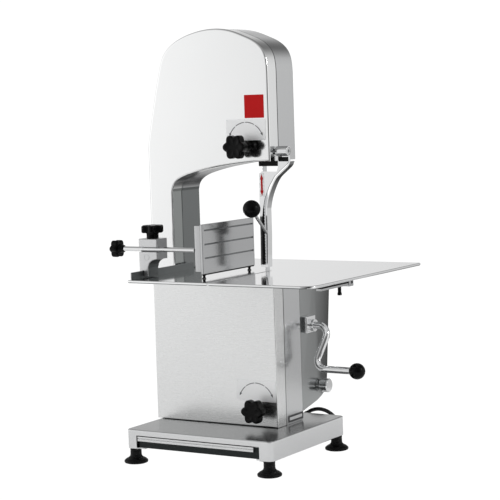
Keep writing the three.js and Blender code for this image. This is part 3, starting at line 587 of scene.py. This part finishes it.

# lever: block with the camshaft's bore, arm, ball
bb = cut(join(box(106.3, 122, 88, 126, 247, 281, 1.6), rod("X", 12.5, 118, 132, (0, 106, 262), 64, 0.8)), rod("X", 7.5, 100, 140, (0, 106, 262), 48))
piece(bb, "lever_block", "frame", BRIGHT, "crank_bearing_block")
arm_pts = arcs([(136.3, 106, 262), (167, 106, 262), (143, 74, 178), (227.8, 74, 178)], 20)
dense = []
for a, b in zip(arm_pts, arm_pts[1:]):
    n = max(1, int((Vector(b) - Vector(a)).length / 6))
    dense += [tuple(Vector(a).lerp(Vector(b), i / n)) for i in range(n)]
piece(tube(dense + [arm_pts[-1]], 7.2, 40), "lever_arm", "crank", BRIGHT, "crank_arm")


def ball(c, r, axis, cutoff):
    """Turned ball with a flat where its stem enters and a fine parting line."""
    ax, pts = Vector(axis).normalized(), []
    n = 44
    a0 = math.acos(cutoff / r)
    for i in range(n + 1):
        a = math.pi - a0 - (math.pi - a0) * i / n
        rad = r * math.sin(a) - (0.10 if abs(a - math.pi / 2) < 0.03 else 0)
        pts.append((max(rad, 0), r * math.cos(a)))
    q = ax.to_track_quat("Z", "Y").to_matrix()
    verts, faces, rows = [], [], []
    for rad, h in [(0, pts[0][1])] + pts:
        if rad < 1e-6:
            rows.append([len(verts)])
            verts.append(P(*(Vector(c) + q @ Vector((0, 0, h)))))
        else:
            rows.append(list(range(len(verts), len(verts) + 64)))
            verts += [P(*(Vector(c) + q @ Vector((rad * math.cos(2 * math.pi * k / 64), rad * math.sin(2 * math.pi * k / 64), h)))) for k in range(64)]
    for a, b in zip(rows, rows[1:]):
        for i in range(64):
            k = (i + 1) % 64
            if len(a) == 1 and len(b) == 1:
                break
            faces.append((a[0], b[k], b[i]) if len(a) == 1 else (a[i], a[k], b[0]) if len(b) == 1 else (a[i], a[k], b[k], b[i]))
    return raw(verts, faces)


piece(ball((243, 74, 178), 16.5, (1, 0, 0), 14.9), "lever_ball", "crank", BLACK, "crank_ball")
gd = Vector((2.8, -60, 52)).normalized()
piece(ball((90.6, -61.8, 512.4), 17.5, gd, 15.6), "guard_grip", "guard", BLACK, "guard_ball")
gp = [tuple(Vector((87.2, -2, 460.8)).lerp(Vector((90, -50.5, 501)), i / 12)) for i in range(13)]
piece(tube(gp, 3.2, 32), "guard_rod", "guard", BRIGHT, "guard_lever")
piece(rod("X", 4.8, -164, 6.7, (0, -141, 436.5), 56, 0.5), "fence_bar", "fence", BRIGHT, "fence_rod")
piece(lathe("X", [(0, 0), (12, 0), (12, 3), (14.5, 4.5), (14.5, 18.5), (13, 20), (0, 20)], (106.4, 168, 127), 72, 0.6), "boss", "frame", BRIGHT, "housing_boss")
piece(lathe("Z", [(0, 350), (4, 350), (4.4, 353), (3.4, 356), (3.4, 366.2), (2.2, 366.2), (2.2, 370), (0, 370)], (290, -76, 0), 40, 0.4), "rail_pin", "lock_pin", BLACK, "rail_lock_pin")

# blade: an endless toothed band
N = 1104
verts, faces = [], []
R = 105.45
span, half_turn = 492.5, math.pi * R
total = 2 * span + 2 * half_turn
for i in range(N):
    s = total * i / N
    if s < half_turn:
        a = s / R
        c, nn = (-31.3, 742.5), (math.cos(a), math.sin(a))
    elif s < half_turn + span:
        c, nn = (-31.3, 742.5 - (s - half_turn)), (-1, 0)
    elif s < 2 * half_turn + span:
        a = math.pi + (s - half_turn - span) / R
        c, nn = (-31.3, 250), (math.cos(a), math.sin(a))
    else:
        c, nn = (-31.3, 250 + (s - 2 * half_turn - span)), (1, 0)
    tooth = (0.0, 1.2, 2.4, 1.0)[i % 4]
    for rad, y in ((R, 10.6 + tooth), (R + 0.8, 10.6 + tooth), (R + 0.8, 26.6), (R, 26.6)):
        verts.append(P(c[0] + rad * nn[0], y, c[1] + rad * nn[1]))
for i in range(N):
    k = (i + 1) % N
    for j in range(4):
        l = (j + 1) % 4
        faces.append((4 * i + j, 4 * i + l, 4 * k + l, 4 * k + j))
piece(raw(verts, faces), "blade", "frame", BLADE, "saw_blade")

# blade guard
S = catmull([(88, 508), (92, 527), (101, 550), (113, 570), (127, 582), (141, 594), (145, 602)], 6)
inner = catmull([(86, 508), (90, 527.6), (99.4, 551.6), (111, 571.5), (125.5, 584), (139, 596), (142.6, 603)], 6)
face = [(70, 391), (86, 391), (88, 456), (88, 482)] + S + [(143, 614), (117.5, 615), (116.5, 592), (113, 582.5), (77, 583), (72.6, 562), (71.2, 527), (71.2, 456)]
edge = [(84, 391), (86, 391), (88, 456), (88, 482)] + S + list(reversed(inner)) + [(86, 482), (86, 456)]
ga = join(prism("Y", face, 0.5, 2.5), prism("Y", edge, 2, 18), prism("Y", [(70, 391), (71.8, 391), (73, 456), (73, 560), (71.2, 560), (71.2, 456)], 2, 18), rod("X", 10, 116.2, 143, (0, 0, 623), 64, 0.9))
slot_r = [(83.8, 396), (85.4, 456), (85.4, 484)] + inner
slot_l = [(73.6, 396), (74.8, 456), (75.6, 480), (78.8, 508), (84.0, 530), (94.6, 553.6), (107.6, 573.4), (122.8, 586), (138.0, 597.8)]
ga = cut(ga, rod("X", 5.5, 110, 150, (0, 0, 623), 40), rod("X", 7.6, 138, 150, (0, 0, 623), 48), prism("Y", slot_r + slot_l[::-1], 0, 2.8), box(118.5, 141.2, -1, 1.3, 602.5, 611.5))
ga = piece(ga, "guard", "guard", [BRIGHT, CHANNEL_SHADE], "guard_arm")
for q in ga.data.polygons:  # painted shade: the inside of the channel and the groove under the barrel get a near-black colour
    c = q.center * 1000 - SHIFT
    wall = [(86, 391), (88, 456), (88, 482)] + S
    right_wall = next((u[0] + (v[0] - u[0]) * (c.z - u[1]) / max(v[1] - u[1], 0.01) for u, v in zip(wall, wall[1:]) if u[1] <= c.z <= v[1]), 70)
    relief = 1.2 < c.y < 1.4 and 118 < c.x < 142 and 602 < c.z < 612  # the shadow gap under the barrel
    q.material_index = 1 if relief or 0.8 < c.y < 17.8 and c.z < 604 and 71.0 < c.x < right_wall - 0.8 and abs(q.normal.z) < 0.95 else 0
bolt = cut(lathe("X", [(0, 106.3), (5, 106.3), (5, 138.4), (7.2, 138.4), (7.2, 142.6), (0, 142.6)], (0, 0, 623), 56, 0.4), rod("X", 3.4, 139.8, 144, (0, 0, 623), 6))
piece(bolt, "guard_bolt", "frame", STEEL_Z, "guard_pivot_bolt")

# fence, glides, clamp
fp = join(box(21, 27, -144, 48, 389.6, 487, 0.8), box(7, 23, -144, -140, 393.6, 485, 1.4), box(7, 23, 44, 48, 393.6, 485, 1.4))
for z in (420.6, 447.4, 475):
    fp = cut(fp, prism("Y", [(24.6, z), (28, z - 2.3), (28, z + 2.3)], -138, 44))
piece(fp, "fence", "fence", ALU, "fence_plate")
fg = box(21.6, 26.4, -142, 46, 387.3, 389.3, 0.4)
for y in (-138, 30):
    fg = join(fg, lathe("Z", [(0, 380.8), (4.2, 380.8), (2.2, 384.4), (3.6, 387.4), (0, 387.4)], (24, y, 0), 32, 0.3))
piece(fg, "fence_feet", "fence", BLACK, "fence_glides")
jaw = catmull([(-101, 399), (-97, 409), (-88, 415), (-78, 417)], 6)
prof = fillet([(-122, 383), (-101, 383)], 1) + jaw + [(-78, 457.5), (-122, 457.5)]
cb = prism("Y", prof, -150, -113, 1.8, 4)
cb = cut(cb, box(-114.6, -110.9, -151, -112, 380, 395), box(-123, -77, -152, -141, 431.3, 441.7), rod("X", 5.2, -124, -76, (0, -141, 436.5), 40))
cb = cut(cb, lathe("Y", [(5.6, -152), (6.2, -152), (6.2, -149.5), (5.6, -149.5), (5.6, -152)], (-103, 0, 420.8), 40, 0))
cb = piece(cb, "clamp", "frame", [CAST, STEEL_DARK], "clamp_block")
for q in cb.data.polygons:  # the curved jaw gets the darker steel
    c = q.center * 1000 - SHIFT
    q.material_index = 1 if c.x > -101.6 and c.z < 417.6 and abs(q.normal.y) < 0.5 else 0

# switch
sw = cut(box(-192, -178.9, 42, 74, 240, 330, 2.2), rod("X", 9.6, -193, -183, (0, 58, 306), 48), rod("X", 11.6, -193, -183, (0, 58, 266), 48))
piece(sw, "switch", "frame", BOX_PL, "switch_box")
piece(rod("X", 9, -196.6, -187.4, (0, 58, 306), 56, 1.2), "button_start", "start", GREEN, "start_button")
piece(lathe("X", [(0, -198), (12.6, -198), (12.6, -194.6), (11, -194.6), (11, -187.4), (0, -187.4)], (0, 58, 266), 64, 1.0), "button_stop", "stop", RED, "stop_button")


# ------------------------------------------------------------------ labels: blank, or with a plain turning arrow
def plate(name, body, mat, x0, x1, z0, z1, y, t=0.35, r=1.5):
    return piece(prism("Y", rounded(x0, x1, z0, z1, r, 5), y - t, y + 0.02), name, body, mat)


def arc_arrow(name, body, cx, cz, r, y):
    parts = []
    for a0, a1 in ((28, 58), (62, 92), (96, 124), (128, 152)):
        o = [(cx + (r + 0.7) * math.cos(math.radians(a0 + (a1 - a0) * i / 12)), cz + (r + 0.7) * math.sin(math.radians(a0 + (a1 - a0) * i / 12))) for i in range(13)]
        i_ = [(cx + (r - 0.7) * math.cos(math.radians(a0 + (a1 - a0) * i / 12)), cz + (r - 0.7) * math.sin(math.radians(a0 + (a1 - a0) * i / 12))) for i in range(13)]
        parts.append(prism("Y", o + i_[::-1], y - 0.3, y + 0.02))
    for a, s in ((28, -1), (152, 1)):
        q = math.radians(a)
        p, tg, nm = Vector((cx + r * math.cos(q), cz + r * math.sin(q))), Vector((-math.sin(q), math.cos(q))) * s, Vector((math.cos(q), math.sin(q)))
        parts.append(prism("Y", [tuple(p + tg * 6), tuple(p + nm * 2.6 - tg * 0.2), tuple(p - nm * 2.6 - tg * 0.2)], y - 0.3, y + 0.02))
    piece(join(parts[0], *parts[1:]), name, body, LABEL_INK)


plate("label_upper", "upper_door", LABEL_PALE, 14, 106, 646, 688, FRONT)
arc_arrow("arrow_upper", "upper_door", 60, 641, 41, FRONT - 0.35)
plate("label_red", "upper_door", LABEL_RED, 58, 103, 690, 736, FRONT)
plate("label_lower", "lower_door", LABEL_PALE, 19, 111, 122, 164, FRONT)
arc_arrow("arrow_lower", "lower_door", 65, 118, 41, FRONT - 0.35)
plate("label_guard", "guard", LABEL_PALE, 72.8, 83.2, 532, 580, 0.5, 0.3, 1)
ar = join(prism("Y", [(75.9, 542), (80.1, 542), (80.1, 569), (75.9, 569)], -0.15, 0.22), prism("Y", [(78, 578), (74.2, 567), (81.8, 567)], -0.15, 0.22), prism("Y", [(78, 534), (74.2, 545), (81.8, 545)], -0.15, 0.22))
piece(ar, "arrow_guard", "guard", LABEL_RED)
piece(prism("X", rounded(16, 76, 74, 88, 1.2, 4), 113.98, 114.4), "label_side", "frame", LABEL_INK)
piece(prism("X", rounded(21, 71, 78, 84, 0.8, 4), 114.3, 114.55), "label_side_blank", "frame", LABEL_PALE)

# ------------------------------------------------------------------ CAD nodes that stay, with their own finish
KEEP = {
    "motor_housing": (HOUSING, 1.2), "table_support": (STEEL_X, 0.6), "rail_slide_strip": (BLACK, 0.5), "side_rail": (ALU, 0.5),
    "upper_cover_latch_post": (STEEL_Z, 0.4), "lower_cover_latch_post": (STEEL_Z, 0.4),
    "upper_hinge_frame_leaf": (STEEL_Z, 0.3), "upper_hinge_cover_leaf": (STEEL_Z, 0.3), "lower_hinge_frame_leaf": (STEEL_Z, 0.3), "lower_hinge_cover_leaf": (STEEL_Z, 0.3),
    "motor_plate": (STEEL_X, 0.5), "carriage_guide": (STEEL_X, 0.5), "tension_camshaft": (STEEL_Z, 0.4), "blade_guide_upper": (BLACK, 0.5),
    "blade_guide_lower": (STEEL_X, 0.5), "wheel_scraper": (WHITE_PL, 0.6), "guard_bracket": (STEEL_X, 0.4),
}
for nm, (mt, bv) in KEEP.items():
    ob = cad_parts[nm]
    if len(ob.material_slots) == 0:
        ob.data.materials.append(mt)
    for sl in ob.material_slots:
        sl.link = "OBJECT"
        sl.material = mt
    wd = ob.modifiers.new("weld", "WELD")
    wd.merge_threshold = 2e-6
    shade(ob, bv)

# ------------------------------------------------------------------ floor, light
fl = bpy.data.meshes.new("floor")
fl.from_pydata([(-1.5, -1.6, 0), (1.0, -1.6, 0), (1.0, 0.75, 0), (-1.5, 0.75, 0)], [], [(0, 1, 2, 3)])
flo = bpy.data.objects.new("floor", fl)
scene.collection.objects.link(flo)
fm = material("floor_pale", (0.80, 0.80, 0.80), 0.7, 0, None, 0.01, 0.0, 0.02, spec=0.2)
fn, flink = fm.node_tree.nodes, fm.node_tree.links.new
fn["Principled BSDF"].inputs["Emission Color"].default_value = (1, 1, 1, 1)
fn["Principled BSDF"].inputs["Emission Strength"].default_value = 0.28
fp_, fe, fx = fn.new("ShaderNodeLightPath"), fn.new("ShaderNodeEmission"), fn.new("ShaderNodeMixShader")
fe.inputs["Strength"].default_value = 1.05
flink(fp_.outputs["Is Camera Ray"], fx.inputs[0])
flink(fn["Principled BSDF"].outputs[0], fx.inputs[1])
flink(fe.outputs[0], fx.inputs[2])
flink(fx.outputs[0], fn["Material Output"].inputs["Surface"])
fl.materials.append(fm)


def area(name, loc, aim, size, power, glossy):
    l = bpy.data.lights.new(name, "AREA")
    l.shape, l.size, l.size_y, l.energy = "RECTANGLE", size[0], size[1], power
    o = bpy.data.objects.new(name, l)
    o.location = loc
    o.rotation_mode = "QUATERNION"
    o.rotation_quaternion = (Vector(aim) - Vector(loc)).to_track_quat("-Z", "Y")
    scene.collection.objects.link(o)
    o.visible_glossy = glossy


area("key_front_left", (-2.2, -3.2, 1.6), (0, 0, 0.45), (2.4, 2.2), 30, False)
area("top", (0.2, -0.4, 3.0), (0, 0, 0.3), (3.2, 3.2), 30, False)
area("rim_right", (2.6, 0.6, 1.5), (0, 0, 0.4), (0.35, 0.6), 9, True)

w = bpy.data.worlds.new("studio")
scene.world = w
w.use_nodes = True
n, link = w.node_tree.nodes, w.node_tree.links.new
bg = n["Background"]
bg.inputs["Color"].default_value = (1, 1, 1, 1)
co = n.new("ShaderNodeTexCoord")


def calc(op, a, b):
    q = n.new("ShaderNodeMath")
    q.operation = op
    for i, v in enumerate((a, b)):
        if isinstance(v, (int, float)):
            q.inputs[i].default_value = v
        else:
            link(v, q.inputs[i])
    return q.outputs[0]


def lobe(direction, power, amount):
    """Brightness towards one side of the studio, falling off smoothly."""
    dt = n.new("ShaderNodeVectorMath")
    dt.operation = "DOT_PRODUCT"
    dt.inputs[1].default_value = Vector(direction).normalized()
    link(co.outputs["Generated"], dt.inputs[0])
    return calc("MULTIPLY", calc("POWER", calc("MAXIMUM", dt.outputs["Value"], 0.0), power), amount)


total_light = 0.47
for direction, power, amount in (
        ((-0.85, -0.52, 0.0), 8, 1.18),      # large softbox on the left, mirrored by the covers
        ((-0.60, 0.79, 0.10), 12, 0.45),     # pale rear left, mirrored by the table
        ((0.55, 0.83, 0.10), 14, 0.38),      # pale rear right, mirrored by the right sides
        ((-0.02, 0.985, -0.17), 22, -0.62),  # dark low rear, mirrored by the housing
        ((0.10, 0.75, 0.65), 6, -0.30),      # dark high rear, mirrored by the curved top
        ((0.78, -0.62, -0.05), 4, -0.42),    # dark towards the front right, mirrored by the folds
        ((-0.93, 0.37, 0.0), 12, -0.60),     # dark towards the left, outlines the left folds
        ((1.0, 0.10, 0.0), 10, 0.85),        # strip on the right, a bright line on every round bar
        ((0, 0, 1), 3, -0.20),
        ((0, 0, -1), 1, -0.55)):
    total_light = calc("ADD", lobe(direction, power, amount), total_light)
total_light = calc("MAXIMUM", total_light, 0.03)
lp = n.new("ShaderNodeLightPath")
mix = n.new("ShaderNodeMix")
mix.data_type = "FLOAT"
link(lp.outputs["Is Camera Ray"], mix.inputs["Factor"])
link(total_light, mix.inputs["A"])
mix.inputs["B"].default_value = 1.05
link(mix.outputs["Result"], bg.inputs["Strength"])
scene.view_settings.view_transform = "Standard"
